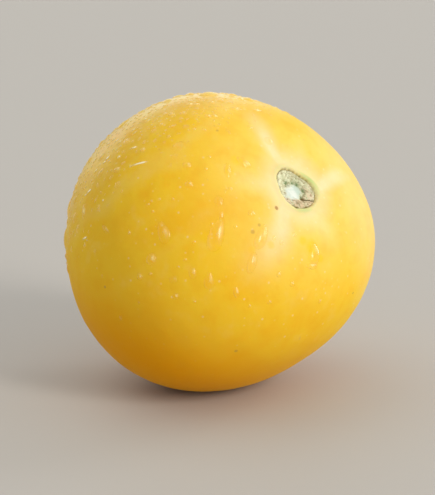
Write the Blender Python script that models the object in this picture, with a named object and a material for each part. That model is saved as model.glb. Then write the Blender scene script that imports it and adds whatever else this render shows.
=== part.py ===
"""A ripe round cocona lying on its side, as one solid. Metres, Z up, resting on the plane Z = 0."""

import math

import bmesh
import bpy
from mathutils import Euler, Vector

# The body is measured from its centre, along the stem axis and round its equator.
EQUATOR_RADIUS = 0.0334
STEM_END_LENGTH = 0.0310
BLOSSOM_END_LENGTH = 0.0326

# An end with a fullness of 2 is an ellipse, and a higher one has squarer shoulders.
STEM_END_FULLNESS = 2.32
BLOSSOM_END_FULLNESS = 1.92
END_CHANGE_RATE = 2.2

# Seen along the stem axis the body is slightly oval and slightly three-cornered.
OVAL_SHARE = 0.034
OVAL_ANGLE = math.radians(171)
CORNER_SHARE = 0.0335
CORNER_ANGLE = math.radians(-20)

# A hollow lies round the stem scar, and its spread is an angle from the stem axis.
HOLLOW_DEPTH = 0.0020
HOLLOW_SPREAD = 0.38

# Each furrow has its angle round the axis, its depth, and how far from the stem it fades out.
FURROWS = (
    (math.radians(97), 0.00028, math.radians(48)),
    (math.radians(0), 0.00026, math.radians(50)),
    (math.radians(219), 0.00026, math.radians(52)),
    (math.radians(296), 0.00020, math.radians(44)),
    (math.radians(159), 0.00018, math.radians(40)),
    (math.radians(46), 0.00018, math.radians(38)),
)
FURROW_HALF_WIDTH = 0.0032

# The stem scar is a little oval, with three soft corners.
SCAR_RADIUS = 0.0047
SCAR_OVAL = 0.00044
SCAR_OVAL_ANGLE = math.radians(137)
SCAR_CORNER = 0.0003
SCAR_CORNER_ANGLE = math.radians(105)
SCAR_FADE_ANGLE = math.radians(28)

# It is a sunken corky ring with a raised core, inside a low lip of skin.
# Each share is a distance from its middle as a share of its radius.
SCAR_DEPTH = 0.00055
WALL_FOOT_SHARE = 0.90
WALL_TOP_SHARE = 1.03
LIP_HEIGHT = 0.00018
LIP_SHARE = 1.08
LIP_SPREAD = 0.16
CORE_HEIGHT = 0.00050
CORE_TOP_SHARE = 0.25
CORE_FOOT_SHARE = 0.50

# The blossom end has a shallow dent with a dry tip in it.
DENT_DEPTH = 0.0006
DENT_SPREAD = 0.24
TIP_HEIGHT = 0.0007
TIP_SPREAD = 0.045

# The fruit leans towards its stem end and rests on a small flat spot.
STEM_AZIMUTH = math.radians(45)
STEM_ELEVATION = math.radians(34.5)
FLAT_DEPTH = 0.0006

# Rings of points lie close together at the scar and at the blossom end.
POINTS_AROUND = 66
SCAR_RINGS = (0.22, 0.36, 0.48, 0.62, 0.80, 0.92, 1.02, 1.14, 1.30)
BODY_RINGS = 48
RING_EASE = 0.45

SKIN_COLOUR = (0.87, 0.51, 0.03, 1.0)
SKIN_ROUGHNESS = 0.36
SHARP_ANGLE = math.radians(35)


def clear_scene():
    """Takes every object out of the scene."""
    for item in list(bpy.data.objects):
        bpy.data.objects.remove(item, do_unlink=True)


def bump(distance, spread):
    """A smooth bump, 1 at no distance and close to 0 past twice its spread."""
    return math.exp(-((distance / spread) ** 2))


def rise(value, start, end):
    """A smooth step from 0 at start to 1 at end."""
    share = min(max((value - start) / (end - start), 0.0), 1.0)
    return share * share * (3 - 2 * share)


def turn_between(angle, other):
    """The turn from one angle to another, the short way round."""
    return math.remainder(angle - other, 2 * math.pi)


def body_radius(polar, around):
    """The rounded body without its relief, as a distance from its centre."""
    stem_side = 0.5 + 0.5 * math.tanh(END_CHANGE_RATE * math.cos(polar))
    length = BLOSSOM_END_LENGTH + (STEM_END_LENGTH - BLOSSOM_END_LENGTH) * stem_side
    fullness = BLOSSOM_END_FULLNESS + (STEM_END_FULLNESS - BLOSSOM_END_FULLNESS) * stem_side
    across = abs(math.sin(polar) / EQUATOR_RADIUS) ** fullness
    along = abs(math.cos(polar) / length) ** fullness
    oval = OVAL_SHARE * math.sin(polar) ** 2 * math.cos(2 * (around - OVAL_ANGLE))
    corners = CORNER_SHARE * math.sin(polar) ** 3 * math.cos(3 * (around - CORNER_ANGLE))
    return (across + along) ** (-1 / fullness) * (1 + oval + corners)


def scar_radius(around):
    """The scar's outline, a little oval with three soft corners."""
    oval = SCAR_OVAL * math.cos(2 * (around - SCAR_OVAL_ANGLE))
    corners = SCAR_CORNER * math.cos(3 * (around - SCAR_CORNER_ANGLE))
    return SCAR_RADIUS + oval + corners


def scar_angle():
    """The angle from the stem axis to the round part of the scar's edge."""
    return SCAR_RADIUS / (STEM_END_LENGTH - HOLLOW_DEPTH)


def furrow_depth(polar, around):
    """How deep the furrows that run out from the scar are at a point."""
    depth = 0.0
    for angle, deepest, reach in FURROWS:
        aside = EQUATOR_RADIUS * math.sin(polar) * turn_between(around, angle)
        starts = rise(polar, scar_angle(), 2 * scar_angle())
        ends = 1 - rise(polar, reach / 2, reach)
        depth += deepest * bump(aside, FURROW_HALF_WIDTH) * starts * ends
    return depth


def scar_relief(share):
    """The scar's height at a share of its radius: core, corky ring, wall and lip."""
    wall = rise(share, WALL_FOOT_SHARE, WALL_TOP_SHARE)
    core = CORE_HEIGHT * (1 - rise(share, CORE_TOP_SHARE, CORE_FOOT_SHARE))
    lip = LIP_HEIGHT * bump(share - LIP_SHARE, LIP_SPREAD) * wall
    return core + lip - SCAR_DEPTH * (1 - wall)


def skin_point(polar, around, scar_share):
    """A point of the skin in the fruit's own frame, with +Z towards the stem."""
    radius = body_radius(polar, around)
    radius -= HOLLOW_DEPTH * bump(polar, HOLLOW_SPREAD)
    radius -= DENT_DEPTH * bump(math.pi - polar, DENT_SPREAD)
    radius += TIP_HEIGHT * bump(math.pi - polar, TIP_SPREAD)
    radius += scar_relief(scar_share)
    radius -= furrow_depth(polar, around)
    level = radius * math.sin(polar)
    return Vector((level * math.cos(around), level * math.sin(around), radius * math.cos(polar)))


def ring_angles():
    """The angle from the stem axis of each ring of points, from the scar to the blossom end."""
    angles = [share * scar_angle() for share in SCAR_RINGS]
    start = angles[-1]
    for step in range(1, BODY_RINGS):
        share = step / BODY_RINGS
        eased = share - RING_EASE * math.sin(2 * math.pi * share) / (2 * math.pi)
        angles.append(start + (math.pi - start) * eased)
    return angles


def shape_skin(mesh):
    """Moves the points of a round ball, whose rings are evenly spaced, onto the fruit's skin."""
    rings = [0.0] + ring_angles() + [math.pi]
    for vertex in mesh.verts:
        ball_polar = math.acos(max(-1.0, min(1.0, vertex.co.z / vertex.co.length)))
        polar = rings[round(ball_polar / math.pi * (len(rings) - 1))]
        around = math.atan2(vertex.co.y, vertex.co.x)
        scar_share = polar / scar_angle()
        follows_scar = 1 - rise(polar, scar_angle(), SCAR_FADE_ANGLE)
        polar *= 1 + follows_scar * (scar_radius(around) / SCAR_RADIUS - 1)
        vertex.co = skin_point(polar, around, scar_share)


def flatten_resting_spot(mesh, turn):
    """Cuts the lowest cap off level, and returns how low the cut lies under the fruit's centre."""
    down = turn.transposed() @ Vector((0, 0, -1))
    reach = max(vertex.co.dot(down) for vertex in mesh.verts) - FLAT_DEPTH
    everything = list(mesh.verts) + list(mesh.edges) + list(mesh.faces)
    cut = bmesh.ops.bisect_plane(
        mesh, geom=everything, dist=1e-7, plane_co=down * reach, plane_no=down, clear_outer=True
    )
    rim = [piece for piece in cut["geom_cut"] if isinstance(piece, bmesh.types.BMEdge)]
    bmesh.ops.contextual_create(mesh, geom=rim)
    bmesh.ops.recalc_face_normals(mesh, faces=mesh.faces)
    return reach


def middle_of_plan(mesh, turn):
    """The middle of the box round the turned fruit, seen from above."""
    turned = [turn @ vertex.co for vertex in mesh.verts]
    middle_x = (max(point.x for point in turned) + min(point.x for point in turned)) / 2
    middle_y = (max(point.y for point in turned) + min(point.y for point in turned)) / 2
    return middle_x, middle_y


def skin_material():
    """Golden yellow, waxy skin."""
    material = bpy.data.materials.new("skin")
    material.use_nodes = True
    shader = material.node_tree.nodes["Principled BSDF"]
    shader.inputs["Base Color"].default_value = SKIN_COLOUR
    shader.inputs["Roughness"].default_value = SKIN_ROUGHNESS
    shader.inputs["Metallic"].default_value = 0.0
    return material


def make_fruit():
    """The whole fruit, leaning on its flat spot with the middle of its plan at the origin."""
    rest_angles = Euler((math.pi / 2 - STEM_ELEVATION, 0, STEM_AZIMUTH))
    turn = rest_angles.to_matrix()
    rings = len(ring_angles()) + 1
    mesh = bmesh.new()
    bmesh.ops.create_uvsphere(mesh, u_segments=POINTS_AROUND, v_segments=rings, radius=1.0)
    shape_skin(mesh)
    reach = flatten_resting_spot(mesh, turn)
    middle_x, middle_y = middle_of_plan(mesh, turn)
    data = bpy.data.meshes.new("cocona_fruit")
    mesh.to_mesh(data)
    mesh.free()
    data.materials.append(skin_material())
    data.shade_smooth()
    data.set_sharp_from_angle(angle=SHARP_ANGLE)
    fruit = bpy.data.objects.new("cocona_fruit", data)
    fruit.rotation_euler = rest_angles
    fruit.location = (-middle_x, -middle_y, reach)
    bpy.context.scene.collection.objects.link(fruit)


clear_scene()
make_fruit()
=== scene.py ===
import math
from math import pi, radians

import bpy
import numpy as np
from mathutils import Euler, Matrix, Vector
from mathutils.bvhtree import BVHTree


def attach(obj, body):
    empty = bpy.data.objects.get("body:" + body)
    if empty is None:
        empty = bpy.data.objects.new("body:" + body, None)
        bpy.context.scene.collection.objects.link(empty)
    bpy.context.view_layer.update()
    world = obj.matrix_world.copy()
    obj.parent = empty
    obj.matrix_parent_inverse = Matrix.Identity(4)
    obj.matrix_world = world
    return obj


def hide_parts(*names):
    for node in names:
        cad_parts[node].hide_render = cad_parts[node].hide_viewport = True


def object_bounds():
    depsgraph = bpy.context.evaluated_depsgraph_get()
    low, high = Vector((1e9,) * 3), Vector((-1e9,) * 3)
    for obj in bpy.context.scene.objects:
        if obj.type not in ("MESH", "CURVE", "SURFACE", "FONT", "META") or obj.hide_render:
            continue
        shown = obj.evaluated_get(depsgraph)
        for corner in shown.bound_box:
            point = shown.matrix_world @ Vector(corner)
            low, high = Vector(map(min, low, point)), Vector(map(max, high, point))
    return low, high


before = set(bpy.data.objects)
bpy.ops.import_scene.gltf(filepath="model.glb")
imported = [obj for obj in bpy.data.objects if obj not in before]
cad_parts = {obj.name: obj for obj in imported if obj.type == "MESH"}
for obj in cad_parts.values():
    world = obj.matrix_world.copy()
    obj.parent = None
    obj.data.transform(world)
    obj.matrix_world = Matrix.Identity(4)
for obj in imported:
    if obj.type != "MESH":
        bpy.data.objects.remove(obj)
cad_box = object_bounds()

# The fruit's form, in metres, repeated from its solid: the body and its hollow.
EQUATOR_RADIUS = 0.0334
STEM_END_LENGTH = 0.031
BLOSSOM_END_LENGTH = 0.0326
STEM_END_FULLNESS = 2.32
BLOSSOM_END_FULLNESS = 1.92
END_CHANGE_RATE = 2.2
OVAL_SHARE = 0.034
OVAL_ANGLE = radians(171)
CORNER_SHARE = 0.0335
CORNER_ANGLE = radians(-20)
HOLLOW_DEPTH = 0.002
HOLLOW_SPREAD = 0.38


def angled(*rows):
    """A table whose first and third values are angles, given in degrees and kept in radians."""
    return [(radians(row[0]), row[1], radians(row[2]), *row[3:]) for row in rows]


# Each furrow has its angle round the axis, its depth, and how far from the stem it fades out.
FURROWS = angled(
    (97, 0.00028, 48), (0, 0.00026, 50), (219, 0.00026, 52), (296, 0.0002, 44), (159, 0.00018, 40),
    (46, 0.00018, 38),
)
FURROW_HALF_WIDTH = 0.0032

# The stem scar's outline, its wall and the low lip of skin round it.
SCAR_RADIUS = 0.0047
SCAR_OVAL = 0.00044
SCAR_OVAL_ANGLE = radians(137)
SCAR_CORNER = 0.0003
SCAR_CORNER_ANGLE = radians(105)
SCAR_FADE_ANGLE = radians(28)
SCAR_ANGLE = SCAR_RADIUS / (STEM_END_LENGTH - HOLLOW_DEPTH)
WALL_FOOT_SHARE = 0.93
WALL_TOP_SHARE = 1.04
LIP_HEIGHT = 0.00018
LIP_SHARE = 1.1
LIP_SPREAD = 0.15

# How the wall wavers: the number of waves round the axis, and the phase and strength of each.
WALL_WAVES = ((7, 1.0, 0.012), (11, 2.6, 0.0084), (19, 0.0, 0.006))

# The share of the scar's radius at a point is found in a few rounds.
SHARE_ROUNDS = 6

# Under the corky scar the skin goes on as the floor of a cup, out of sight.
CUP_DEPTH = 0.0009

# The blossom end's dent and dry tip.
DENT_DEPTH = 0.0006
DENT_SPREAD = 0.24
TIP_HEIGHT = 0.0007
TIP_SPREAD = 0.045

# Fine unevenness of the skin: height, length of its waves, and the seed of its draw.
# It starts at one share of the scar's radius and is full at another.
RIPPLES = ((0.00007, 0.016, 3), (0.000022, 0.005, 4))
RIPPLE_SHARES = (1.0, 2.5)

# A random field is a sum of waves, and each is longer or shorter by a random share.
FIELD_WAVES = 14
FIELD_LENGTH_SHARES = (0.7, 1.5)

# How the fruit leans, and how softly its skin turns into the flat spot.
STEM_AZIMUTH = radians(45)
STEM_ELEVATION = radians(34.5)
TURN = np.array(Euler((pi / 2 - STEM_ELEVATION, 0, STEM_AZIMUTH)).to_matrix())
PRESS_SOFTNESS = 0.0002

# The fine skin mesh.
POINTS_AROUND = 288
CUP_RINGS = 34
CUP_RINGS_REACH = 1.4
BODY_RINGS = 170
RING_EASE = 0.35

# The photo's view: camera height angle, distance from the fruit's middle, lens, and aim.
IMAGE_WIDTH = 435
IMAGE_HEIGHT = 495
CAMERA_ELEVATION = radians(14)
CAMERA_DISTANCE = 0.5
CAMERA_LENS_MM = 165.2
CAMERA_SENSOR_MM = 36
CAMERA_NEAREST = 0.01
AIM_RIGHT = 0.00041
AIM_DOWN = 0.0004
CAMERA_UP = Vector((0, math.sin(CAMERA_ELEVATION), math.cos(CAMERA_ELEVATION)))
CAMERA_AHEAD = Vector((0, math.cos(CAMERA_ELEVATION), -math.sin(CAMERA_ELEVATION)))


def bump(distance, spread):
    """A smooth bump, 1 at no distance and close to 0 past twice its spread."""
    return np.exp(-((distance / spread) ** 2))


def rise(value, start, end):
    """A smooth step from 0 at start to 1 at end."""
    share = np.clip((value - start) / (end - start), 0.0, 1.0)
    return share * share * (3 - 2 * share)


def turn_between(angle, other):
    """The turn from one angle to another, the short way round."""
    return (angle - other + pi) % (2 * pi) - pi


def unit(*way):
    """A way in the world, with a length of 1."""
    return np.array(Vector(way).normalized())


def waves_round(angle, waves):
    """A sum of waves round a circle: the number of waves, and the phase and strength of each."""
    return sum(strength * np.sin(number * angle + phase) for number, phase, strength in waves)


def ripple(points, wavelength, seed):
    """A smooth random field of about -1 to 1 with bumps about half a wavelength across."""
    draw = np.random.default_rng(seed)
    total = np.zeros(len(points))
    for _ in range(FIELD_WAVES):
        way = draw.normal(size=points.shape[1])
        way /= np.linalg.norm(way)
        step = 2 * pi / (wavelength * draw.uniform(*FIELD_LENGTH_SHARES))
        total += np.sin(points @ way * step + draw.uniform(0, 2 * pi))
    return total / math.sqrt(FIELD_WAVES)


# The fruit's surface, as a height over a smooth body

def body_radius(polar, around):
    """The rounded body without its relief, as a distance from its centre."""
    stem_side = 0.5 + 0.5 * np.tanh(END_CHANGE_RATE * np.cos(polar))
    length = BLOSSOM_END_LENGTH + (STEM_END_LENGTH - BLOSSOM_END_LENGTH) * stem_side
    fullness = BLOSSOM_END_FULLNESS + (STEM_END_FULLNESS - BLOSSOM_END_FULLNESS) * stem_side
    across = np.abs(np.sin(polar) / EQUATOR_RADIUS) ** fullness
    along = np.abs(np.cos(polar) / length) ** fullness
    oval = OVAL_SHARE * np.sin(polar) ** 2 * np.cos(2 * (around - OVAL_ANGLE))
    corners = CORNER_SHARE * np.sin(polar) ** 3 * np.cos(3 * (around - CORNER_ANGLE))
    return (across + along) ** (-1 / fullness) * (1 + oval + corners)


def placed(polar, around, height):
    """Points at a height over the smooth body, in the fruit's own frame with +Z towards the stem."""
    radius = body_radius(polar, around) + height
    radius -= HOLLOW_DEPTH * bump(polar, HOLLOW_SPREAD)
    radius -= DENT_DEPTH * bump(pi - polar, DENT_SPREAD)
    level = radius * np.sin(polar)
    return np.stack([level * np.cos(around), level * np.sin(around), radius * np.cos(polar)], axis=-1)


def scar_stretch(ring_polar, around):
    """How much a ring is stretched to run along the scar's outline."""
    oval = SCAR_OVAL * np.cos(2 * (around - SCAR_OVAL_ANGLE))
    corners = SCAR_CORNER * np.cos(3 * (around - SCAR_CORNER_ANGLE))
    follows = 1 - rise(ring_polar, SCAR_ANGLE, SCAR_FADE_ANGLE)
    return 1 + follows * (oval + corners) / SCAR_RADIUS


def scar_share(polar, around):
    """A point's distance from the middle of the scar, as a share of the scar's radius."""
    ring_polar = polar
    for _ in range(SHARE_ROUNDS):
        ring_polar = polar / scar_stretch(ring_polar, around)
    return ring_polar / SCAR_ANGLE


def furrow_depth(polar, around):
    """How deep the furrows that run out from the scar are at each point."""
    depth = np.zeros_like(polar)
    for angle, deepest, reach in FURROWS:
        aside = EQUATOR_RADIUS * np.sin(polar) * turn_between(around, angle)
        starts = rise(polar, SCAR_ANGLE, 2 * SCAR_ANGLE)
        ends = 1 - rise(polar, reach / 2, reach)
        depth += deepest * bump(aside, FURROW_HALF_WIDTH) * starts * ends
    return depth


def skin_relief(polar, around):
    """The skin's height over the smooth body: cup, lip, furrows, dry tip and fine unevenness."""
    share = scar_share(polar, around)
    wall = rise(share + waves_round(around, WALL_WAVES), WALL_FOOT_SHARE, WALL_TOP_SHARE)
    height = LIP_HEIGHT * bump(share - LIP_SHARE, LIP_SPREAD) * wall
    height -= CUP_DEPTH * (1 - wall)
    height -= furrow_depth(polar, around)
    height += TIP_HEIGHT * bump(pi - polar, TIP_SPREAD)
    smooth = placed(polar, around, np.zeros_like(polar))
    uneven = rise(share, *RIPPLE_SHARES)
    for deepest, wavelength, seed in RIPPLES:
        height += uneven * deepest * ripple(smooth, wavelength, seed)
    return height


# Meshes

def ring_grid(ring_polars, count):
    """The angles from the stem and round the axis of each point of a round grid, ring by ring."""
    turns = np.arange(count) * (2 * pi / count)
    return np.repeat(ring_polars, count), np.tile(turns, len(ring_polars))


def ring_faces(rings, count, first=0):
    """Quads between neighbouring rings of a round grid."""
    faces = []
    for ring in range(rings - 1):
        for place in range(count):
            upper = first + ring * count
            lower = upper + count
            after = (place + 1) % count
            faces.append((upper + place, lower + place, lower + after, upper + after))
    return faces


def fan(centre, ring_start, count, outwards):
    """Triangles from a middle point to a ring."""
    faces = []
    for place in range(count):
        here = ring_start + place
        after = ring_start + (place + 1) % count
        faces.append((centre, here, after) if outwards else (centre, after, here))
    return faces


def mesh_object(name, points, faces, material=None):
    """A smooth shaded mesh object, with its material if it has one yet."""
    data = bpy.data.meshes.new(name)
    data.from_pydata([tuple(point) for point in points], [], faces)
    if material:
        data.materials.append(material)
    data.shade_smooth()
    data.update()
    item = bpy.data.objects.new(name, data)
    bpy.context.scene.collection.objects.link(item)
    return item


def add_attribute(item, name, values):
    """Stores one number for each point, for the material to read."""
    attribute = item.data.attributes.new(name, "FLOAT", "POINT")
    attribute.data.foreach_set("value", np.asarray(values, dtype=np.float32))


def dress(piece):
    """Makes a piece part of the fruit's body and finish, in place of the plain solid."""
    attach(piece, "root")
    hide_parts("cocona_fruit")


# Material building blocks

def new_material(name):
    """A new material and its Principled shader."""
    material = bpy.data.materials.new(name)
    material.use_nodes = True
    return material, material.node_tree.nodes["Principled BSDF"]


def set_finish(shader, finish):
    """Sets the values of a shader that are the same everywhere on a piece."""
    for name, value in finish.items():
        shader.inputs[name].default_value = value


class Graph:
    """Short calls for the nodes of one material. Most give an output socket."""

    def __init__(self, material):
        self.tree = material.node_tree
        self.object_place = self.node("ShaderNodeTexCoord").outputs["Object"]

    def put(self, value, socket):
        """Gives a socket a plain value, or what another socket gives."""
        if isinstance(value, bpy.types.NodeSocket):
            self.tree.links.new(value, socket)
        else:
            socket.default_value = value

    def node(self, kind, inputs=()):
        """A new node. Each input is a socket's name or number, and what goes in."""
        item = self.tree.nodes.new(kind)
        for socket, value in inputs:
            self.put(value, item.inputs[socket])
        return item

    def attribute(self, name):
        item = self.node("ShaderNodeAttribute")
        item.attribute_name = name
        return item.outputs["Fac"]

    def noise(self, size, detail, roughness):
        """A smooth random field, with bumps of about a size in metres."""
        place = (("Vector", self.object_place), ("Scale", 1 / size))
        item = self.node("ShaderNodeTexNoise", (*place, ("Detail", detail), ("Roughness", roughness)))
        return item.outputs["Fac"]

    def cells(self, size):
        """The distance from the middle of each random cell, and a random number for it."""
        item = self.node("ShaderNodeTexVoronoi", (("Vector", self.object_place), ("Scale", 1 / size)))
        parts = self.node("ShaderNodeSeparateColor", (("Color", item.outputs["Color"]),))
        return item.outputs["Distance"], parts.outputs["Red"]

    def distance_from(self, point):
        item = self.node("ShaderNodeVectorMath", ((0, self.object_place), (1, tuple(point))))
        item.operation = "DISTANCE"
        return item.outputs["Value"]

    def math(self, operation, first, second):
        item = self.node("ShaderNodeMath", ((0, first), (1, second)))
        item.operation = operation
        return item.outputs[0]

    def times(self, first, second):
        return self.math("MULTIPLY", first, second)

    def spread(self, value, low, high, to_low=0.0, to_high=1.0):
        """A smooth change from one strength to another, as a value goes from low to high."""
        ends = (("From Min", low), ("From Max", high), ("To Min", to_low), ("To Max", to_high))
        item = self.node("ShaderNodeMapRange", (("Value", value), *ends))
        item.interpolation_type = "SMOOTHSTEP"
        return item.outputs["Result"]

    def mottle(self, field, ends):
        """A strength that follows a random field."""
        return self.spread(self.noise(*field), *ends)

    def mix(self, share, first, second):
        """The first colour, with a share of the second laid over it."""
        item = self.node("ShaderNodeMix")
        item.data_type = "RGBA"
        for number, value in ((0, share), (6, first), (7, second)):
            self.put(value, item.inputs[number])
        return item.outputs[2]

    def relief(self, height, depth):
        """Fine bumps in the light that a surface gives back."""
        return self.node("ShaderNodeBump", (("Height", height), ("Distance", depth))).outputs["Normal"]


# Colours, as linear red, green, blue and alpha
STEM_YELLOW = (0.91, 0.62, 0.1, 1)
GOLDEN = (0.9, 0.56, 0.028, 1)
AMBER = (0.86, 0.36, 0.001, 1)
PALE = (0.91, 0.735, 0.4, 1)
# A pale tone painted over wet skin as the sheen of its water film
FILM_SHEEN_PALE = (0.92, 0.78, 0.36, 1)
FILM_AMBER = (0.74, 0.42, 0.02, 1)
SHEEN_TINT = (1.0, 0.84, 0.16, 1)
DEEP_YELLOW = (0.92, 0.58, 0.015, 1)
HALO_GREEN = (0.5, 0.6, 0.22, 1)
RIM_LINE_SHADE_OLIVE = (0.2, 0.15, 0.03, 1)
SPECK_BROWN = (0.42, 0.22, 0.07, 1)
TIP_BROWN = (0.16, 0.075, 0.02, 1)
CORK = (0.58, 0.6, 0.36, 1)
CORK_PINK = (0.73, 0.56, 0.36, 1)
CORK_BROWN = (0.24, 0.17, 0.07, 1)
CORK_CREAM = (0.8, 0.8, 0.54, 1)
CORE_WHITE = (0.78, 0.82, 0.73, 1)
CORE_GREY = (0.48, 0.6, 0.49, 1)
CORE_GREEN = (0.13, 0.21, 0.08, 1)
SLIT_BROWN = (0.12, 0.075, 0.012, 1)
WATER_CLEAR = (1.0, 0.98, 0.88, 1)
WATER_GOLD = (1.0, 0.92, 0.5, 1)
# Painted light in the water drops: a pale painted gathered light, and the white of a painted glint
PAINTED_GATHERED_LIGHT = (1.0, 0.82, 0.33, 1)
PAINTED_GLINT_WHITE = (1.0, 0.9, 0.64, 1)

# How a value turns into a strength: its range, and the strengths at its ends if not 0 and 1
GOLD_START = (0.35, 0.95)
OUTSIDE_SHADE_AMBER = (0.0, 0.35, 1.0, 0.12)
SMEAR_AMBER = (0.0, 1.6, 0.0, 0.2)
# Paler smears are painted sheen
SMEAR_SHEEN = (0.0, -1.6, 0.0, 0.12)
WET_ROUGHNESS = (0.0, 1.0, 0.5, 0.32)
WET_COAT = (0.0, 1.0, 0.0, 0.45)

# Mottling of the skin: size, detail and roughness of a random field, and its range and strengths
BLOTCHES = ((0.011, 3.0, 0.5), (0.42, 0.75, 0.0, 0.3))
RAY_BREAKS = ((0.0035, 3.0, 0.6), (0.15, 0.75, 0.72, 1.0))
# Pale clouds under the water are painted sheen
SHEEN_CLOUDS = ((0.0022, 2.0, 0.6), (0.4, 0.68, 0.0, 0.14))
GLASSY = ((0.0016, 2.0, 0.6), (0.5, 0.72, 0.0, 0.35))
DAPPLE_FIELD = (0.0042, 2.0, 0.6)
DAPPLE_AMBER = (0.48, 0.72, 0.0, 0.18)
DAPPLE_PALE = (0.46, 0.28, 0.0, 0.06)
PORE_FIELD = (0.0009, 2.0, 0.5)
PORE_DEPTH = 0.00003

# Fine pale dots: their spacing, their edge, and how strong some of them are
DOT_SPACING = 0.0017
DOT_EDGE = (0.22, 0.06)
DOT_STRENGTH = (0.35, 0.9, 0.0, 0.45)

# A spot is full out to this share of its radius
SPOT_CORE = 0.35

SKIN_FINISH = {
    "IOR": 1.42,
    "Specular IOR Level": 0.05,
    "Coat IOR": 1.25,
    "Coat Roughness": 0.22,
    "Sheen Weight": 0.14,
    "Sheen Tint": SHEEN_TINT,
    "Sheen Roughness": 0.35,
    "Subsurface Weight": 0.25,
    "Subsurface Radius": (1.0, 0.55, 0.15),
    "Subsurface Scale": 0.004,
}


def mottled_gold(graph):
    """Yellow at the stem, amber low down as painted shade, blotches, pale rays, painted lit sides and pale
    dots.
    """
    # The amber low down is painted shade; the dots and pale dapples fade out in it.
    outside_shade_amber = graph.spread(graph.attribute("amber_and_shade"), *OUTSIDE_SHADE_AMBER)
    base = graph.mix(graph.spread(graph.attribute("stem_angle"), *GOLD_START), STEM_YELLOW, GOLDEN)
    base = graph.mix(graph.attribute("amber_and_shade"), base, AMBER)
    base = graph.mix(graph.mottle(*BLOTCHES), base, AMBER)
    dapples = graph.noise(*DAPPLE_FIELD)
    base = graph.mix(graph.spread(dapples, *DAPPLE_AMBER), base, AMBER)
    base = graph.mix(graph.times(outside_shade_amber, graph.spread(dapples, *DAPPLE_PALE)), base, PALE)
    # The pale share also holds the painted highlight of the lit sides.
    pale = graph.times(graph.attribute("pale"), graph.mottle(*RAY_BREAKS))
    base = graph.mix(pale, base, PALE)
    dot_distance, dot_draw = graph.cells(DOT_SPACING)
    dots = graph.times(graph.spread(dot_distance, *DOT_EDGE), graph.spread(dot_draw, *DOT_STRENGTH))
    return graph.mix(graph.times(dots, outside_shade_amber), base, PALE)


def under_water(graph, base, wet):
    """A colour under thin water: cloudy painted sheen, glassy patches, and slanting smears, deeper or
    painted paler.
    """
    base = graph.mix(graph.times(wet, graph.mottle(*SHEEN_CLOUDS)), base, FILM_SHEEN_PALE)
    smear = graph.attribute("smear")
    base = graph.mix(graph.spread(smear, *SMEAR_AMBER), base, FILM_AMBER)
    base = graph.mix(graph.spread(smear, *SMEAR_SHEEN), base, FILM_SHEEN_PALE)
    return graph.mix(graph.times(wet, graph.mottle(*GLASSY)), base, FILM_AMBER)


def with_marks(graph, base, spots):
    """A colour with the scar's green, its dark rim of olive line and painted shade, the spots and the dry
    tip over it.
    """
    base = graph.mix(graph.attribute("halo_green"), base, HALO_GREEN)
    base = graph.mix(graph.attribute("rim_line_and_shade"), base, RIM_LINE_SHADE_OLIVE)
    for place, radius, strength, colour in spots:
        spot = graph.spread(graph.distance_from(place), radius, SPOT_CORE * radius, 0.0, strength)
        base = graph.mix(spot, base, colour)
    return graph.mix(graph.attribute("tip"), base, TIP_BROWN)


def skin_material(spots):
    """Waxy golden skin: paler along the rays and round the scar, deeper towards the blossom end."""
    material, shader = new_material("cocona_skin")
    graph = Graph(material)
    wet = graph.attribute("wet")
    base = under_water(graph, mottled_gold(graph), wet)
    graph.put(with_marks(graph, base, spots), shader.inputs["Base Color"])
    graph.put(graph.spread(wet, *WET_ROUGHNESS), shader.inputs["Roughness"])
    graph.put(graph.spread(wet, *WET_COAT), shader.inputs["Coat Weight"])
    graph.put(graph.relief(graph.noise(*PORE_FIELD), PORE_DEPTH), shader.inputs["Normal"])
    set_finish(shader, SKIN_FINISH)
    return material


# Pale rays: angle round the axis, strength, how far from the stem each reaches, and half its width
PALE_RAYS = angled(
    (94, 1.0, 46, 0.0017), (55, 0.45, 30, 0.0013), (1, 0.95, 52, 0.0019), (219, 0.95, 50, 0.0026),
    (288, 0.5, 34, 0.0032), (158, 0.55, 36, 0.0022),
)
RAY_WIDENING = 0.05
RAY_FADE_START = 0.35
RAY_OVERLAP = 0.25

# How the rays waver: by how much, and how fast along a ray and from one ray to the next
RAY_WAVER = 0.0009
RAY_WAVER_ALONG = 9
RAY_WAVER_SHIFT = 5

# The pale halo round the scar: its strength, and where it starts to fade and ends
HALO_STRENGTH = 0.78
HALO_FADE_START = 1.1
HALO_REACH = 2.5


def pale_share(polar, around):
    """How pale the skin is: a halo round the scar and rays that run out from it."""
    fade = rise(polar, HALO_FADE_START * SCAR_ANGLE, HALO_REACH * SCAR_ANGLE)
    pale = HALO_STRENGTH * (1 - fade)
    for angle, strength, reach, half_width in PALE_RAYS:
        waver = RAY_WAVER * np.sin(RAY_WAVER_ALONG * polar + RAY_WAVER_SHIFT * angle)
        aside = EQUATOR_RADIUS * np.sin(polar) * turn_between(around, angle) + waver
        width = half_width + RAY_WIDENING * EQUATOR_RADIUS * polar
        ray = strength * bump(aside, width) * (1 - rise(polar, RAY_FADE_START * reach, reach))
        pale = np.maximum(pale, ray) + RAY_OVERLAP * np.minimum(pale, ray)
    return np.clip(pale, 0, 1)


# Where the skin round the scar is green: angle round the axis, strength and half its spread.
# Then the strength all round it, and how far out it lies.
HALO_GREENS = angled(
    (14, 0.75, 36), (-98, 0.6, 30), (112, 0.25, 26),
)
HALO_GREEN_BASE = 0.15
HALO_GREEN_SHARE = 1.1
HALO_GREEN_SPREAD = 0.15

# Where the rim is darkest: angle round the axis, strength and half its spread. The dark rim is partly an
# olive line and partly painted shade where the wall falls into the cup.
RIM_LINE_SHADES = angled(
    (84, 0.6, 14), (35, 0.5, 24), (152, 0.4, 12), (-140, 0.3, 30), (-95, 0.35, 20),
)
RIM_LINE_SHADE_BASE = 0.34

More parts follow.
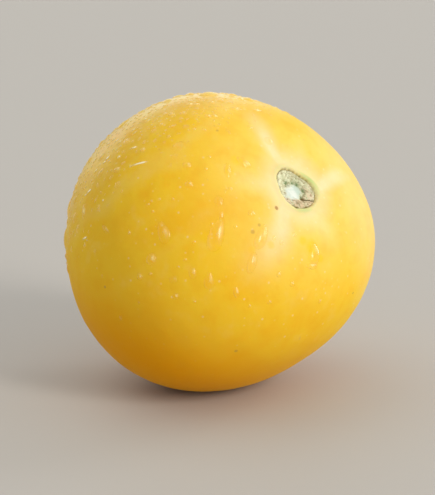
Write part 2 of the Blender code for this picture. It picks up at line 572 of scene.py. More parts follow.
# Where the dark rim starts and ends, as shares of the scar's radius, and how its outer edge wavers
RIM_START = (0.85, 0.93)
RIM_END = (0.965, 1.015)
RIM_WAVES = ((13, 0.7, 0.01), (29, 2.0, 0.012))

# The dry tip's brown: its strength, and the angles from the blossom end where it is full and ends
TIP_STRENGTH = 0.9
TIP_EDGE = (0.02, 0.055)


def patches(around, spots, base):
    """A strength at each angle round the axis: a base, and a smooth rise at each spot."""
    strength = np.full_like(around, base)
    for angle, strongest, half_spread in spots:
        strength += strongest * bump(turn_between(around, angle), half_spread)
    return strength


# Where the gold deepens to amber: away from the stem, in radians, and low down, as a share of straight
# down. Low down the amber is painted shade.
DEEP_POLAR = (0.95, 1.7)
SHADE_LOWNESS = (-0.15, 0.6)


def amber_and_shade_share(polar, offsets):
    """How deep the gold is: deeper away from the stem, and only low down, where it is painted shade."""
    lowness = -offsets[:, 2] / np.linalg.norm(offsets, axis=1)
    return rise(polar, *DEEP_POLAR) * rise(lowness, *SHADE_LOWNESS)


# The side that the water lies on, up, left and a little behind, and how near it starts and is full
WET_SIDE = unit(-0.55, 0.45, 0.7)
WET_NEARNESS = (0.3, 0.78)

# Painted highlight on the lit sides, the right and the top: the way to each, how near it starts and is
# full, and its strength
PAINTED_LIT_SIDES = (
    (unit(0.93, 0.28, 0.22), 0.62, 0.97, 0.42),
    (unit(-0.05, 0.3, 0.95), 0.74, 1.0, 0.44),
)


def nearness(offsets, side, start, end):
    """How near each point is to a side of the fruit, from its offset from the middle."""
    ways = offsets / np.linalg.norm(offsets, axis=1)[:, None]
    return rise(ways @ side, start, end)


def wetness(offsets):
    """How wet the skin is at each point."""
    return nearness(offsets, WET_SIDE, *WET_NEARNESS)


# Slanting smears left by running water, deeper or paler, the paler ones painted sheen: the side they lie
# on, how near they start and are full, and the way across them. Then the spacing and seed of their draw,
# and how much and how they waver.
SMEAR_SIDE = unit(-0.55, -0.45, 0.7)
SMEAR_NEARNESS = (0.45, 0.85)
SMEAR_ACROSS = unit(-0.62, 0.1, 0.78)
SMEAR_FIELD = (0.0085, 9)
SMEAR_WAVER = 0.0012
SMEAR_WAVER_FIELD = (0.012, 8)


def smears(offsets):
    """How much deeper (over 0), or paler with painted sheen (under 0), the skin is along the smears."""
    across = offsets @ SMEAR_ACROSS + SMEAR_WAVER * ripple(offsets, *SMEAR_WAVER_FIELD)
    return ripple(across[:, None], *SMEAR_FIELD) * nearness(offsets, SMEAR_SIDE, *SMEAR_NEARNESS)


# Brown specks: pixel of the photo, radius in metres and strength
SPECKS = (
    ((276.5, 208.0), 0.00066, 0.85), ((259.3, 225.0), 0.00052, 0.42), ((252.8, 231.8), 0.00068, 0.42),
    ((353.0, 293.0), 0.00036, 0.6), ((236.0, 351.0), 0.00055, 0.45), ((105.0, 287.0), 0.00042, 0.55),
    ((217.3, 130.5), 0.00045, 0.4),
)

# Blots where the skin shows through water in a deeper yellow: pixel, radius in metres and strength
DEEP_BLOTS = (
    ((312, 247), 0.0021, 0.6), ((303, 241), 0.0014, 0.5), ((320, 258), 0.0013, 0.5),
    ((206, 237), 0.0018, 0.45), ((217, 249), 0.0014, 0.4), ((236, 160), 0.0016, 0.45),
    ((229, 171), 0.0015, 0.45), ((150, 267), 0.0016, 0.35), ((252, 250), 0.0012, 0.4),
    ((271, 245), 0.0012, 0.4), ((149, 123.5), 0.0012, 0.5), ((154, 136), 0.0016, 0.55),
    ((109, 164), 0.001, 0.45), ((137.5, 133), 0.001, 0.4), ((133, 155), 0.0008, 0.35),
    ((192, 122.5), 0.0017, 0.45),
)


class View:
    """Finds what the photo's camera sees at a pixel."""

    def __init__(self, skin, middle):
        data = skin.data
        corners = [tuple(vertex.co) for vertex in data.vertices]
        self.tree = BVHTree.FromPolygons(corners, [tuple(face.vertices) for face in data.polygons])
        aim = Vector(middle) + Vector((AIM_RIGHT, 0, 0)) - CAMERA_UP * AIM_DOWN
        self.eye = aim - CAMERA_AHEAD * CAMERA_DISTANCE

    def skin_at(self, pixel):
        """The point of the skin at a pixel."""
        size = CAMERA_SENSOR_MM / CAMERA_LENS_MM / IMAGE_HEIGHT
        aside = (pixel[0] - IMAGE_WIDTH / 2) * size
        upwards = (IMAGE_HEIGHT / 2 - pixel[1]) * size
        way = CAMERA_AHEAD + Vector((aside, 0, 0)) + CAMERA_UP * upwards
        return np.array(self.tree.ray_cast(self.eye, way.normalized())[0])


def seen_spots(view):
    """The deeper blots and the brown specks, each at its point of the skin."""
    spots = []
    for marks, colour in ((DEEP_BLOTS, DEEP_YELLOW), (SPECKS, SPECK_BROWN)):
        for pixel, radius, strength in marks:
            spots.append((view.skin_at(pixel), radius, strength, colour))
    return spots


def settled_middle(points):
    """Where the fruit's middle goes, for its top and its sides to fill the plain solid's box."""
    low, high = points.min(axis=0), points.max(axis=0)
    middle = (np.array(cad_box[0]) + np.array(cad_box[1]) - low - high) / 2
    middle[2] = cad_box[1][2] - high[2]
    return middle


def store_skin_shares(skin, polar, around, offsets):
    """Stores how much of each colour every point of the skin has, for its material."""
    share = scar_share(polar, around)
    ragged = share + waves_round(around, RIM_WAVES)
    near_rim = rise(share, *RIM_START) * (1 - rise(ragged, *RIM_END))
    pale = pale_share(polar, around)
    # The painted highlight of the lit sides goes into the pale share, with the real pale halo and rays.
    for side, start, full, strength in PAINTED_LIT_SIDES:
        pale = np.maximum(pale, strength * nearness(offsets, side, start, full))
    green = patches(around, HALO_GREENS, HALO_GREEN_BASE)
    green *= bump(share - HALO_GREEN_SHARE, HALO_GREEN_SPREAD)
    # The rim's dark: partly an olive line, partly painted shade on the wall of the cup
    rim_shading = np.clip(patches(around, RIM_LINE_SHADES, RIM_LINE_SHADE_BASE), 0, 1)
    add_attribute(skin, "stem_angle", polar)
    add_attribute(skin, "pale", pale)
    add_attribute(skin, "halo_green", green)
    add_attribute(skin, "rim_line_and_shade", rim_shading * near_rim)
    add_attribute(skin, "tip", TIP_STRENGTH * (1 - rise(pi - polar, *TIP_EDGE)))
    # Deeper amber away from the stem and low down, where it is painted shade
    add_attribute(skin, "amber_and_shade", amber_and_shade_share(polar, offsets))
    add_attribute(skin, "wet", wetness(offsets))
    add_attribute(skin, "smear", smears(offsets))


def make_skin():
    """The whole skin, with its hollow, furrows, scar cup, dry tip and flat spot."""
    cup_polars = np.linspace(0, CUP_RINGS_REACH, CUP_RINGS + 1)[1:] * SCAR_ANGLE
    share = np.arange(1, BODY_RINGS) / BODY_RINGS
    eased = share - RING_EASE * np.sin(2 * pi * share) / (2 * pi)
    rings = np.concatenate([cup_polars, cup_polars[-1] + (pi - cup_polars[-1]) * eased])
    ring_polar, around = ring_grid(rings, POINTS_AROUND)
    polar = np.concatenate([ring_polar * scar_stretch(ring_polar, around), [0.0, pi]])
    around = np.concatenate([around, [0.0, 0.0]])
    points = placed(polar, around, skin_relief(polar, around)) @ TURN.T
    middle = settled_middle(points)
    points += middle
    points[:, 2] = (points[:, 2] + np.sqrt(points[:, 2] ** 2 + PRESS_SOFTNESS**2)) / 2
    stem_pole = len(rings) * POINTS_AROUND
    faces = ring_faces(len(rings), POINTS_AROUND)
    faces += fan(stem_pole, 0, POINTS_AROUND, True)
    faces += fan(stem_pole + 1, stem_pole - POINTS_AROUND, POINTS_AROUND, False)
    skin = mesh_object("cocona_skin", points, faces)
    store_skin_shares(skin, polar, around, points - middle)
    return skin, middle


# The scar's cork. Places on it are in metres from its middle: +X is to the photo's right, and +Y is up.
CORK_POINTS_AROUND = 176
CORK_RINGS = 46
CORK_LEVEL = -0.0003
CORK_BOTTOM = -0.00085

# Unevenness of the cork, coarse and fine: length of its waves, and the seed of its draw
ROUGH_FIELD = (0.0011, 21)
FINE_FIELD = (0.00045, 22)
ROUGH_HEIGHT = 0.00008
FINE_HEIGHT = 0.00005

# The pale core: its place, form and outline, how its far side is shaded, and the groove round it
CORE_MIDDLE = (-0.00095, -0.00055)
CORE_RADIUS = 0.00195
CORE_NARROWING = 0.8
CORE_WAVES = ((2, 0.6, 0.07), (5, 2.0, 0.04))
CORE_EDGE = (0.55, 1.25)
CORE_EDGE_FINE = 0.12
CORE_EDGE_ROUGH = 0.08
CORE_HEIGHT = 0.00026
CORE_DOMING = 0.6
CORE_ROUGHNESS = 0.00002
SHADE_ACROSS = (-0.0002, 0.0014)
SHADE_STRENGTH = 0.8
GROOVE_DEPTH = 0.0001
GROOVE_SHARE = 1.12
GROOVE_SPREAD = 0.1

# Green pits beside the core: middle and radius of each, and how deep, uneven and green they are
GREEN_PITS = (
    ((-0.00175, 0.00195), 0.0005), ((0.0012, 0.00105), 0.00048), ((0.0002, 0.00165), 0.00034),
    ((0.0022, -0.00055), 0.00054), ((0.00085, -0.00185), 0.0003),
)
PIT_DEPTH = 0.00016
PIT_UNEVENNESS = 0.25
PIT_STRENGTH = 0.95

# A green tinge round the core: middle, radius and strength
TINGE_MIDDLE = (0.0006, 0.0008)
TINGE_RADIUS = 0.0022
TINGE_STRENGTH = 0.3

# The slit, along three points. Past its first stretch it is narrower.
SLIT = ((0.0008, -0.0024), (0.00205, -0.00285), (0.0035, -0.00335))
SLIT_HALF_WIDTH = 0.00042
SLIT_NARROWING = 0.62
SLIT_NARROWS_AFTER = 0.0004
SLIT_DEPTH = 0.00036

# The layered cork below the slit: the way it lies, its edge and height, and its layers
FLAP_WAY = (-0.3, -0.95)
FLAP_EDGE = 0.0004
FLAP_HEIGHT = 0.00016
LAYER_THICKNESS = 0.00062
LAYER_DEPTH = 0.00012
LAYER_STRENGTH = 0.42

# The sunken edge of the cork, darkened by the olive line and painted shade of the crease: shares of the
# scar's radius where it starts and is full
EDGE_SHARES = (0.93, 0.97)
EDGE_UNEVENNESS = 0.012
EDGE_DEPTH = 0.00018
EDGE_SHADE_STRENGTH = 0.8

# A brown spot and a pinkish patch: middle and radius
BROWN_SPOT = ((-0.0011, -0.0029), 0.00042)
BROWN_STRENGTH = 0.8
PINK_SPOT = ((0.003, -0.0013), 0.0019)


def spot_share(places, middle, radius):
    """How much each place belongs to a round spot."""
    return bump(np.linalg.norm(places - np.array(middle), axis=1), radius)


def distance_to_line(places, start, end):
    """How far each place is from a straight line between two points."""
    start, end = np.array(start), np.array(end)
    way = end - start
    along = np.clip((places - start) @ way / (way @ way), 0, 1)
    return np.linalg.norm(places - start - along[:, None] * way, axis=1)


def core_fields(places, rough, fine):
    """How far out each place is as a share of the core's radius, the core's share, and its shade."""
    offsets = places - np.array(CORE_MIDDLE)
    offsets[:, 0] *= CORE_NARROWING
    outline = 1 + waves_round(np.arctan2(offsets[:, 1], offsets[:, 0]), CORE_WAVES)
    distance = np.linalg.norm(offsets, axis=1) / (CORE_RADIUS * outline)
    core = 1 - rise(distance + CORE_EDGE_FINE * fine + CORE_EDGE_ROUGH * rough, *CORE_EDGE)
    return distance, core, rise(offsets[:, 0], *SHADE_ACROSS)


def slit_share(places):
    """How much each place belongs to the slit."""
    distance = distance_to_line(places, SLIT[0], SLIT[1])
    distance = np.minimum(distance, distance_to_line(places, SLIT[1], SLIT[2]))
    narrower = SLIT_NARROWING * rise(places[:, 0], SLIT[0][0] + SLIT_NARROWS_AFTER, SLIT[1][0])
    return bump(distance, SLIT_HALF_WIDTH * (1 - narrower))


def flap_fields(places, rough):
    """The layered cork: how much each place belongs to it, and the waves of its layers."""
    below = (places - np.array(SLIT[1])) @ (np.array(FLAP_WAY) / np.linalg.norm(FLAP_WAY))
    layers = 0.5 + 0.5 * np.cos(2 * pi * below / LAYER_THICKNESS + 0.5 * rough)
    return rise(below, 0.0, FLAP_EDGE), layers


def cork_fields(places, share):
    """The cork's height at each place, and how much of each colour it has there."""
    rough = ripple(places, *ROUGH_FIELD)
    fine = ripple(places, *FINE_FIELD)
    core_distance, core, shade = core_fields(places, rough, fine)
    flap, layers = flap_fields(places, rough)
    slit = slit_share(places)
    # The sunken edge is darkened with the rim's olive line and painted shade.
    edge = rise(share + EDGE_UNEVENNESS * rough, *EDGE_SHARES)
    green = np.zeros(len(places))
    for middle, radius in GREEN_PITS:
        green = np.maximum(green, spot_share(places, middle, radius / (1 + PIT_UNEVENNESS * fine)))
    height = CORK_LEVEL + (1 - core) * (ROUGH_HEIGHT * rough + FINE_HEIGHT * fine)
    height += core * (CORE_HEIGHT * (1 - CORE_DOMING * core_distance**2) + CORE_ROUGHNESS * rough)
    height -= GROOVE_DEPTH * bump(core_distance - GROOVE_SHARE, GROOVE_SPREAD)
    height += flap * (FLAP_HEIGHT - LAYER_DEPTH * layers)
    height -= PIT_DEPTH * green + SLIT_DEPTH * slit + EDGE_DEPTH * edge
    brown = np.maximum(BROWN_STRENGTH * spot_share(places, *BROWN_SPOT), LAYER_STRENGTH * flap * layers**3)
    return height, {
        "core": core,
        "pink": np.maximum(flap, spot_share(places, *PINK_SPOT)),
        "shade": SHADE_STRENGTH * shade,
        "green": PIT_STRENGTH * green,
        "near_core_green": TINGE_STRENGTH * spot_share(places, TINGE_MIDDLE, TINGE_RADIUS),
        "brown": brown,
        "slit": slit,
        "edge": EDGE_SHADE_STRENGTH * edge,
    }


# Mottling of the cork, as for the skin
PINK_MOTTLE = ((0.0011, 3.0, 0.6), (0.28, 0.56))
CREAM_MOTTLE = ((0.0008, 1.5, 0.5), (0.44, 0.58, 0.0, 0.85))
PIT_MOTTLE = ((0.0006, 2.0, 0.6), (0.49, 0.68, 0.0, 0.65))
CORE_MOTTLE = ((0.0011, 2.0, 0.5), (0.4, 0.65, 0.0, 0.4))
PINK_STRENGTH = (0.0, 0.8, 0.3, 1.0)
CREAM_IN_PINK = (0.0, 1.0, 1.0, 0.25)
GRAIN_FIELD = (0.00025, 2.0, 0.5)
GRAIN_DEPTH = 0.00006
CORK_FINISH = {"Roughness": 0.75, "Specular IOR Level": 0.25}


def cork_material():
    """Dry cork, pinkish beige, round a pale core."""
    material, shader = new_material("scar_cork")
    graph = Graph(material)
    pink = graph.attribute("pink")
    more_pink = graph.times(graph.mottle(*PINK_MOTTLE), graph.spread(pink, *PINK_STRENGTH))
    base = graph.mix(more_pink, CORK, CORK_PINK)
    cream = graph.times(graph.mottle(*CREAM_MOTTLE), graph.spread(pink, *CREAM_IN_PINK))
    base = graph.mix(cream, base, CORK_CREAM)
    base = graph.mix(graph.mottle(*PIT_MOTTLE), base, CORK_BROWN)
    base = graph.mix(graph.attribute("near_core_green"), base, CORE_GREEN)
    inner = graph.mix(graph.attribute("shade"), CORE_WHITE, CORE_GREY)
    inner = graph.mix(graph.mottle(*CORE_MOTTLE), inner, CORE_GREY)
    # The cork's edge takes the olive line and painted shade of the crease round it.
    marks = (("green", CORE_GREEN), ("brown", CORK_BROWN), ("edge", RIM_LINE_SHADE_OLIVE), ("slit", SLIT_BROWN))
    for name, colour in (("core", inner), *marks):
        base = graph.mix(graph.attribute(name), base, colour)
    graph.put(base, shader.inputs["Base Color"])
    graph.put(graph.relief(graph.noise(*GRAIN_FIELD), GRAIN_DEPTH), shader.inputs["Normal"])
    set_finish(shader, CORK_FINISH)
    return material


def make_cork(middle):
    """The corky scar that fills the cup: a pale core, pits, a slit and layers of cork beside it."""
    count = CORK_POINTS_AROUND
    rings = np.linspace(0, 1, CORK_RINGS + 1)[1:] * SCAR_ANGLE
    ring_polar, around = ring_grid(rings, count)
    polar = np.concatenate([ring_polar * scar_stretch(ring_polar, around), [0.0]])
    around = np.concatenate([around, [0.0]])
    share = np.concatenate([ring_polar / SCAR_ANGLE, [0.0]])
    smooth = placed(polar, around, np.zeros_like(polar))
    height, colours = cork_fields(smooth[:, :2], share)
    top = CORK_RINGS * count
    last = top - count
    under_polar = np.concatenate([polar[last:-1], [0.0]])
    under_around = np.concatenate([around[last:-1], [0.0]])
    under = placed(under_polar, under_around, np.full(len(under_polar), CORK_BOTTOM))
    points = np.concatenate([placed(polar, around, height), under]) @ TURN.T + middle
    faces = ring_faces(CORK_RINGS, count)
    faces += fan(top, 0, count, True)
    for place in range(count):
        after = (place + 1) % count
        faces.append((last + place, top + 1 + place, top + 1 + after, last + after))
    faces += fan(top + 1 + count, top + 1, count, False)
    cork = mesh_object("stem_scar", points, faces, cork_material())
    for name, values in colours.items():
        hidden = EDGE_SHADE_STRENGTH if name == "edge" else 0.0
        add_attribute(cork, name, np.concatenate([values, np.full(len(under), hidden)]))
    return cork


# Water drops seen in the photo: two end pixels, or one pixel for a round drop, width and painted shine
SEEN_DROPS = (
    ((162.5, 228), (164.5, 237), 13, 0.6), ((151.4, 258), (151.4, 260), 11, 0.75),
    ((139.8, 276), (139.8, 277), 7, 0.75), ((192.5, 271), (192.5, 275), 8, 0.6),
    ((209.5, 277), (208.5, 285), 10, 0.55), ((175.5, 296), 7, 0.75), ((235.5, 289), (236.8, 295), 6, 0.8),
    ((219.5, 226), (213.5, 243), 16, 0.7), ((221.5, 212), (221, 218), 4.5, 0.8),
    ((264, 229.5), (258.5, 244), 12, 0.8), ((254, 257), (250, 268), 10, 0.7),
    ((314, 250), (314, 258), 15, 0.6), ((159.5, 199.4), 4, 0.75), ((151.4, 201.2), 4, 0.75),
    ((148.3, 204.3), 4, 0.75), ((152.8, 211.4), 4, 0.75), ((172.9, 198.9), 4, 0.75),
    ((194.3, 241.8), 4, 0.75), ((185.4, 259.6), 4, 0.75), ((178.2, 266.8), 4, 0.75),
    ((235.8, 226.6), 5, 0.75), ((211.7, 223.9), 4, 0.75), ((251.4, 213.2), 8, 0.75),
    ((194.7, 301.6), 4, 0.75), ((249.6, 306), 4, 0.75), ((150.5, 273.9), 4, 0.75),
    ((293.9, 234.6), 5, 0.75), ((281.5, 242.8), 5, 0.75), ((273.8, 238), 5, 0.75),
    ((278.6, 274.3), 6, 0.75), ((292, 283.9), 6, 0.75), ((319.7, 301), 5, 0.75), ((269.5, 302), 5, 0.75),
    ((206, 94.8), (212, 94.8), 14, 0.75), ((221, 101), 8, 0.75), ((189.5, 104.5), (190.5, 104.5), 6, 1.2),
    ((196, 104.5), (196.5, 104.5), 6, 1.0), ((174.5, 102.8), (177, 102.3), 3, 1.2), ((225, 110), 6, 0.8),
    ((170, 127), (174, 125.5), 5, 0.7), ((194, 129), 5, 0.7), ((181, 118.5), 5, 0.7),
    ((248, 99.8), (252, 100.8), 9, 0.9), ((240, 99), (242, 99.5), 6, 1.4),
    ((254.5, 110.5), (259, 110.5), 6, 1.2), ((233, 109), (237.5, 109), 8, 0.9), ((208, 116), 7, 1.0),
    ((214, 116), (214.5, 116), 7, 1.0), ((171.4, 114.4), 7, 0.75), ((165.2, 106), 6, 0.75),
    ((204.3, 129.7), 5, 0.75), ((250.2, 127.4), 6, 0.75), ((240, 160), (247, 165), 9, 0.8),
    ((227, 167), (228, 174), 8, 0.75), ((209.6, 156.5), 4, 0.75), ((205.8, 168.8), 4, 0.75),
    ((230.3, 188.7), 5, 0.75), ((84, 206), (84, 217), 7, 1.0), ((143.5, 120.5), (147, 118), 3, 1.6),
    ((146.5, 122), (150, 119), 3, 1.3), ((129.5, 128.5), (133, 126), 3, 1.2),
    ((131, 131.8), (135, 128.8), 3, 1.3), ((132.5, 134.8), (136, 131.8), 3, 1.1), ((143, 150), 7, 0.8),
    ((95, 172.5), (97, 169.5), 3.5, 1.3), ((99, 166), (101, 163.5), 3, 1.1),
    ((107, 144.8), (109, 143.6), 4, 1.4), ((99.5, 206), (98, 211), 5, 0.7),
    ((103, 226), (108, 232), 5, 0.6), ((85, 245), (85, 245.5), 6, 0.7),
    ((129.3, 231.5), (129.3, 233.5), 3.5, 1.0), ((116.5, 170), (118, 170), 8, 0.8), ((189, 184), 8, 0.8),
    ((187, 165), 9, 0.7), ((111.5, 141.5), (115.5, 138), 2.8, 1.5),
    ((114.2, 143), (118.5, 139.2), 2.8, 1.6), ((130, 166.8), (146.5, 161.7), 4.2, 1.8),
    ((131, 149), (136, 147), 4, 1.6), ((108.8, 156.8), (106.2, 160), 4.5, 1.8),
    ((105.2, 161.8), (103.8, 163.2), 4, 1.6), ((109.8, 160.2), (107.6, 161.6), 3, 1.3),
    ((90.6, 190), (87.4, 193.4), 4.5, 1.8), ((86.4, 194.6), (85, 196), 3.5, 1.5),
    ((83.2, 239), (86.2, 237.6), 3.8, 1.7), ((87, 239.8), (87.2, 240.6), 2.8, 1.3), ((119, 157), 5, 1.5),
    ((117.8, 143.8), (121, 141), 2.8, 1.4), ((103, 200.5), 3.5, 1.6), ((308, 266), (315, 266.5), 6, 1.0),
)

# A pixel's size on the fruit, and the width in pixels over which a drop is large
PIXEL = 0.00022
LARGE_WIDTH = 5

# Kinds of drops: points round, rings, steepness at the rim, how much gold shows through, and how much
# painted pale haze a drop has where the skin is wettest
LARGE_DROP = (28, 8, radians(44), 1.0, 0.48)
SMALL_DROP = (16, 5, radians(38), 0.5, 0.4)
FINE_DROP = (8, 3, radians(34), 0.3, 0.4)

# The underside of a drop: how deep it is sunk, and how far out it reaches as a share
DROP_SINK = 0.00006
DROP_UNDER_SHARE = 0.97

# How a drop's outline wavers, how much fuller its lower end is, and how its rings crowd to the rim
DROP_WAVER = 0.06
DROP_THIRD_WAVER = 0.6 * DROP_WAVER
DROP_FULLER_BELOW = 0.16
DROP_RING_EASE = 0.8

# The way to the main light
KEY_WAY = unit(0.67, -0.61, 0.42)

# The painted light in a drop: a wide painted highlight towards the main light, and a painted crescent on
# the far side. Each has how far out it lies, its half width, how far round it goes, and its strength.
PAINTED_STREAK = (0.42, 0.4, radians(62), 0.72)
PAINTED_CRESCENT = (0.8, 0.18, radians(56), 0.4)

# The painted light at a drop's top as a share of its shine, and how much its painted haze fades to the rim
PAINTED_TOP_SHINE = 0.5
PAINTED_HAZE_FADE = 0.5

# A drop with more painted shine than this also gets a painted glint round its middle
PAINTED_GLINT_START = 0.75
PAINTED_GLINT_WIDTH = 0.55

# The gap that is left between drops, as a factor on their radii, and the seed of all their draws
DROP_GAP = 1.08
DROPS_SEED = 11

# Fine drops: how many are tried, their least radius and its spread, and over what radius one is small
FINE_DROPS_TRIED = 30000
FINE_RADIUS = 0.0003
FINE_RADIUS_SPREAD = 0.00115
SMALL_DROP_RADIUS = 0.00062

# How much longer than wide they are, how far they slant from straight down, and their painted shine
FINE_STRETCH = (1.0, 1.8)
FINE_SLANT = 0.35
FINE_PAINTED_SHINE = (0.2, 0.4)
FINE_PAINTED_SHINE_WET = 0.8

# Where they cling: the chance on dry skin, the heights where they start and are full, how far to the
# right they go, and how far from the scar they stay, as a share of its radius
DRY_CHANCE = 0.002
CLING_HEIGHTS = (-0.019, 0.006)
CLING_RIGHT = 0.024
CLING_SCAR_SHARE = 1.6


def dome_levels(rings, steepness, crown):
    """The rings of a drop: how far out each one is as a share, and its height over the skin."""
    steep = 1 / math.sin(steepness)
    rim = math.sqrt(steep**2 - 1)
    levels = []
    for ring in range(1, rings + 1):
        share = (ring / rings) ** DROP_RING_EASE
        levels.append((share, crown * (math.sqrt(steep**2 - share**2) - rim) / (steep - rim)))
    levels.append((DROP_UNDER_SHARE, -DROP_SINK))
    return levels


def ring_painted_light(turns, share, from_light, painted_shine, painted_haze):
    """The painted light along one ring of a drop: painted highlight, crescent, glint and haze."""
    haze = painted_haze * (1 - PAINTED_HAZE_FADE * share**2)
    middle_glint = max(painted_shine - PAINTED_GLINT_START, 0) * bump(share, PAINTED_GLINT_WIDTH)
    painted_light = np.full(len(turns), max(haze, middle_glint))
    for light, towards in ((PAINTED_STREAK, from_light + pi), (PAINTED_CRESCENT, from_light)):
        far_out, half_width, half_spread, strength = light
        beside = bump(turn_between(turns, towards), half_spread)
        painted_light = np.maximum(painted_light, painted_shine * strength * beside * bump(share - far_out, half_width))
    return painted_light


class Drops:
    """Gathers closed domes of water that follow the skin under them."""

    def __init__(self, middle):
        self.middle = middle
        self.draw = np.random.default_rng(DROPS_SEED)
        self.points = []
        self.faces = []
        self.painted_light = []
        self.gold = []
        self.count = 0
        self.places = []
        self.radii = []

    def is_free(self, place, radius):
        """True if a drop there would lie clear of the others."""
        gaps = np.linalg.norm(np.array(self.places) - place, axis=1)
        return bool(np.all(gaps > (np.array(self.radii) + radius) * DROP_GAP))

    def add(self, place, way, half_length, half_width, kind, painted_shine):
        """One drop at a place in the fruit's own frame, longest along a way."""
        around, rings, steepness, gold, painted_haziness = kind
        upright = place / np.linalg.norm(place)
        way = way - upright * (way @ upright)
        way /= np.linalg.norm(way)
        side = np.cross(upright, way)
        turns = np.arange(around) * (2 * pi / around)
        first, second = self.draw.uniform(0, 2 * pi, size=2)
        waver = 1 + waves_round(turns, ((2, first, DROP_WAVER), (3, second, DROP_THIRD_WAVER)))
        crown = half_width * math.tan(steepness / 2)
        away = -(TURN.T @ KEY_WAY)
        from_light = math.atan2(away @ side, away @ way)
        painted_haze = painted_haziness * wetness((TURN @ place)[None, :])[0]
        spots = [place]
        heights = [crown]
        painted_light = [[max(PAINTED_TOP_SHINE * painted_shine, painted_haze, painted_shine - PAINTED_GLINT_START)]]
        for share, height in dome_levels(rings, steepness, crown):
            wide = half_width * share * waver * np.sin(turns) * (1 + DROP_FULLER_BELOW * np.cos(turns))
            along = half_length * share * waver * np.cos(turns)
            spots.extend(place + np.outer(along, way) + np.outer(wide, side))
            heights.extend([height] * around)
            painted_light.append(ring_painted_light(turns, share, from_light, painted_shine, painted_haze))
        spots.append(place)
        heights.append(-DROP_SINK)
        painted_light.append([0.0])
        self.lay(np.array(spots), np.array(heights), around)
        self.painted_light.append(np.concatenate(painted_light))
        self.gold.append(np.full(len(spots), gold))
        self.places.append(place)
        self.radii.append(max(half_length, half_width))

    def lay(self, spots, heights, around):
        """Lays the rings of a drop on the skin, from top to underside."""
        polar = np.arccos(spots[:, 2] / np.linalg.norm(spots, axis=1))
        turn = np.arctan2(spots[:, 1], spots[:, 0])
        height = skin_relief(polar, turn) + heights
        self.points.append(placed(polar, turn, height) @ TURN.T + self.middle)
        top = self.count
        under = top + len(spots) - 1
        self.faces += fan(top, top + 1, around, True)
        self.faces += ring_faces((len(spots) - 2) // around, around, top + 1)
        self.faces += fan(under, under - around, around, False)
        self.count += len(spots)

    def own_frame(self, point):
        """A world point in the fruit's own frame."""
        return TURN.T @ (point - self.middle)


# How the painted light in the water turns into its colours: painted gathered light, then the white of a
# painted glint
PAINTED_GATHERED_SHARE = (0.0, 0.3)
PAINTED_GLINT_SHARE = (0.7, 0.95)
PAINTED_LIGHT_TO_CLEAR = (0.0, 1.0, 1.0, 0.0)
WATER_FINISH = {"Roughness": 0.19, "IOR": 1.33, "Specular IOR Level": 0.4}


def water_material():
    """Clear water with painted light in it: pale painted gathered light and painted glints. It casts no
    shadow on the skin.
    """
    material, shader = new_material("water")
    graph = Graph(material)
    painted_light = graph.attribute("painted_light")
    base = graph.mix(graph.attribute("gold"), WATER_CLEAR, WATER_GOLD)
    base = graph.mix(graph.spread(painted_light, *PAINTED_GATHERED_SHARE), base, PAINTED_GATHERED_LIGHT)
    base = graph.mix(graph.spread(painted_light, *PAINTED_GLINT_SHARE), base, PAINTED_GLINT_WHITE)
    graph.put(base, shader.inputs["Base Color"])
    graph.put(graph.spread(painted_light, *PAINTED_LIGHT_TO_CLEAR), shader.inputs["Transmission Weight"])
    set_finish(shader, WATER_FINISH)
    path = graph.node("ShaderNodeLightPath")
    passes = graph.math("MAXIMUM", path.outputs["Is Shadow Ray"], path.outputs["Is Diffuse Ray"])
    clear = graph.node("ShaderNodeBsdfTransparent").outputs[0]
    either = graph.node("ShaderNodeMixShader", ((0, passes), (1, shader.outputs[0]), (2, clear)))
    graph.put(either.outputs[0], graph.tree.nodes["Material Output"].inputs["Surface"])
    return material


def add_seen_drops(drops, view, downwards):
    """The drops that the photo shows. A round one is fuller downwards."""
    for *ends, width, painted_shine in SEEN_DROPS:
        first, last = (drops.own_frame(view.skin_at(pixel)) for pixel in (ends[0], ends[-1]))
        way = last - first if len(ends) == 2 else downwards
        half_width = width * PIXEL / 2
        half_length = np.linalg.norm(last - first) / 2 + half_width
        kind = LARGE_DROP if width > LARGE_WIDTH else SMALL_DROP
        drops.add((first + last) / 2, way, half_length, half_width, kind, painted_shine)


def add_fine_drops(drops, downwards):
    """A field of fine drops at random places on the wet side."""
    draw = drops.draw
    for _ in range(FINE_DROPS_TRIED):
        way = draw.normal(size=3)
        way /= np.linalg.norm(way)
        chance = draw.uniform()
        radius = FINE_RADIUS + FINE_RADIUS_SPREAD * draw.uniform() ** 3
        length = radius * draw.uniform(*FINE_STRETCH)
        polar = np.array([math.acos(way[2])])
        turn = np.array([math.atan2(way[1], way[0])])
        place = placed(polar, turn, np.zeros(1))[0]
        offset = TURN @ place
        wet = wetness(offset[None, :])[0]
        clings = (DRY_CHANCE + (1 - DRY_CHANCE) * wet) * rise(offset[2], *CLING_HEIGHTS)
        if chance > clings or offset[0] > CLING_RIGHT or scar_share(polar, turn)[0] < CLING_SCAR_SHARE:
            continue
        if drops.is_free(place, length):
            kind = SMALL_DROP if radius > SMALL_DROP_RADIUS else FINE_DROP
            painted_shine = draw.uniform(*FINE_PAINTED_SHINE) + FINE_PAINTED_SHINE_WET * wet * draw.uniform()
            slant = draw.normal(size=3) * FINE_SLANT
            drops.add(place, downwards + slant, length, radius, kind, painted_shine)


def make_drops(view, middle):
    """All the water, as one piece."""
    drops = Drops(middle)
    downwards = TURN.T @ np.array((0.0, 0.0, -1.0))
    add_seen_drops(drops, view, downwards)
    add_fine_drops(drops, downwards)
    water = mesh_object("water_drops", np.concatenate(drops.points), drops.faces, water_material())
    add_attribute(water, "painted_light", np.concatenate(drops.painted_light))
    add_attribute(water, "gold", np.concatenate(drops.gold))
    return water


# Camera, floor and light

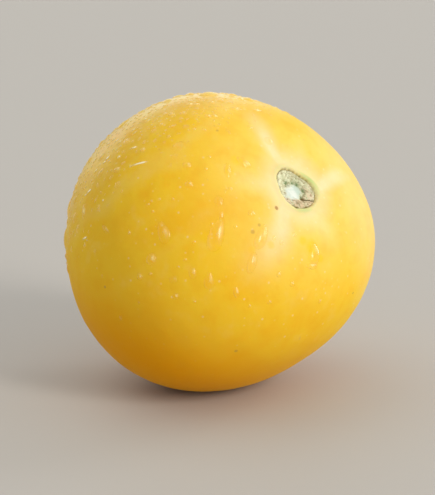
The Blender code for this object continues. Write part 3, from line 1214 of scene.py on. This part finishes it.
def make_camera(view):
    """The photo's view of the fruit."""
    data = bpy.data.cameras.new("camera")
    data.lens = CAMERA_LENS_MM
    data.sensor_width = CAMERA_SENSOR_MM
    data.clip_start = CAMERA_NEAREST
    camera = bpy.data.objects.new("camera", data)
    bpy.context.scene.collection.objects.link(camera)
    camera.location = view.eye
    camera.rotation_euler = (pi / 2 - CAMERA_ELEVATION, 0, 0)
    bpy.context.scene.camera = camera


FLOOR_HALF_SIZE = 3.0
FLOOR_FINISH = {"Base Color": (0.5, 0.47, 0.43, 1), "Roughness": 0.7}


def make_floor():
    """A plain pale floor, wide enough to fill every view."""
    material, shader = new_material("floor")
    set_finish(shader, FLOOR_FINISH)
    size = FLOOR_HALF_SIZE
    corners = [(-size, -size, 0), (size, -size, 0), (size, size, 0), (-size, size, 0)]
    mesh_object("floor", corners, [(0, 1, 2, 3)], material)


# The even light from all round
WORLD_COLOUR = (0.95, 0.97, 1.0, 1)
WORLD_STRENGTH = 0.6

# The lights: name, the way to it, its size in metres, its power in watts, and its colour
LIGHT_DISTANCE = 2.0
LIGHTS = (
    ("key", KEY_WAY, (0.5, 0.9), 23.1, (1.0, 0.96, 0.9)),
    ("edge", (0.8, 0.55, 0.3), (0.7, 1.3), 10.9, (1.0, 1.0, 1.0)),
    ("back", (-0.45, 0.25, 0.86), (2.0, 1.5), 6.0, (1.0, 0.97, 0.78)),
    ("rim", (-0.3, 0.94, 0.26), (2.4, 0.7), 5.0, (1.0, 0.95, 0.82)),
)


def add_light(name, middle, way, size, power, colour):
    """A rectangular soft light that faces the fruit."""
    data = bpy.data.lights.new(name, "AREA")
    data.shape = "RECTANGLE"
    data.size, data.size_y = size
    data.energy = power
    data.color = colour
    light = bpy.data.objects.new(name, data)
    bpy.context.scene.collection.objects.link(light)
    way = Vector(way).normalized()
    light.visible_camera = False
    light.location = Vector(middle) + way * LIGHT_DISTANCE
    light.rotation_euler = way.to_track_quat("Z", "Y").to_euler()


def make_lights(middle):
    """Even light, and soft lights at the front right, at the right, above the left and behind."""
    world = bpy.data.worlds.new("world")
    world.use_nodes = True
    background = world.node_tree.nodes["Background"]
    background.inputs["Color"].default_value = WORLD_COLOUR
    background.inputs["Strength"].default_value = WORLD_STRENGTH
    bpy.context.scene.world = world
    for name, way, size, power, colour in LIGHTS:
        add_light(name, middle, way, size, power, colour)


bpy.context.scene.view_settings.view_transform = "Standard"
skin, fruit_middle = make_skin()
view = View(skin, fruit_middle)
skin.data.materials.append(skin_material(seen_spots(view)))
dress(skin)
dress(make_cork(fruit_middle))
dress(make_drops(view, fruit_middle))
make_camera(view)
make_floor()
make_lights(fruit_middle)
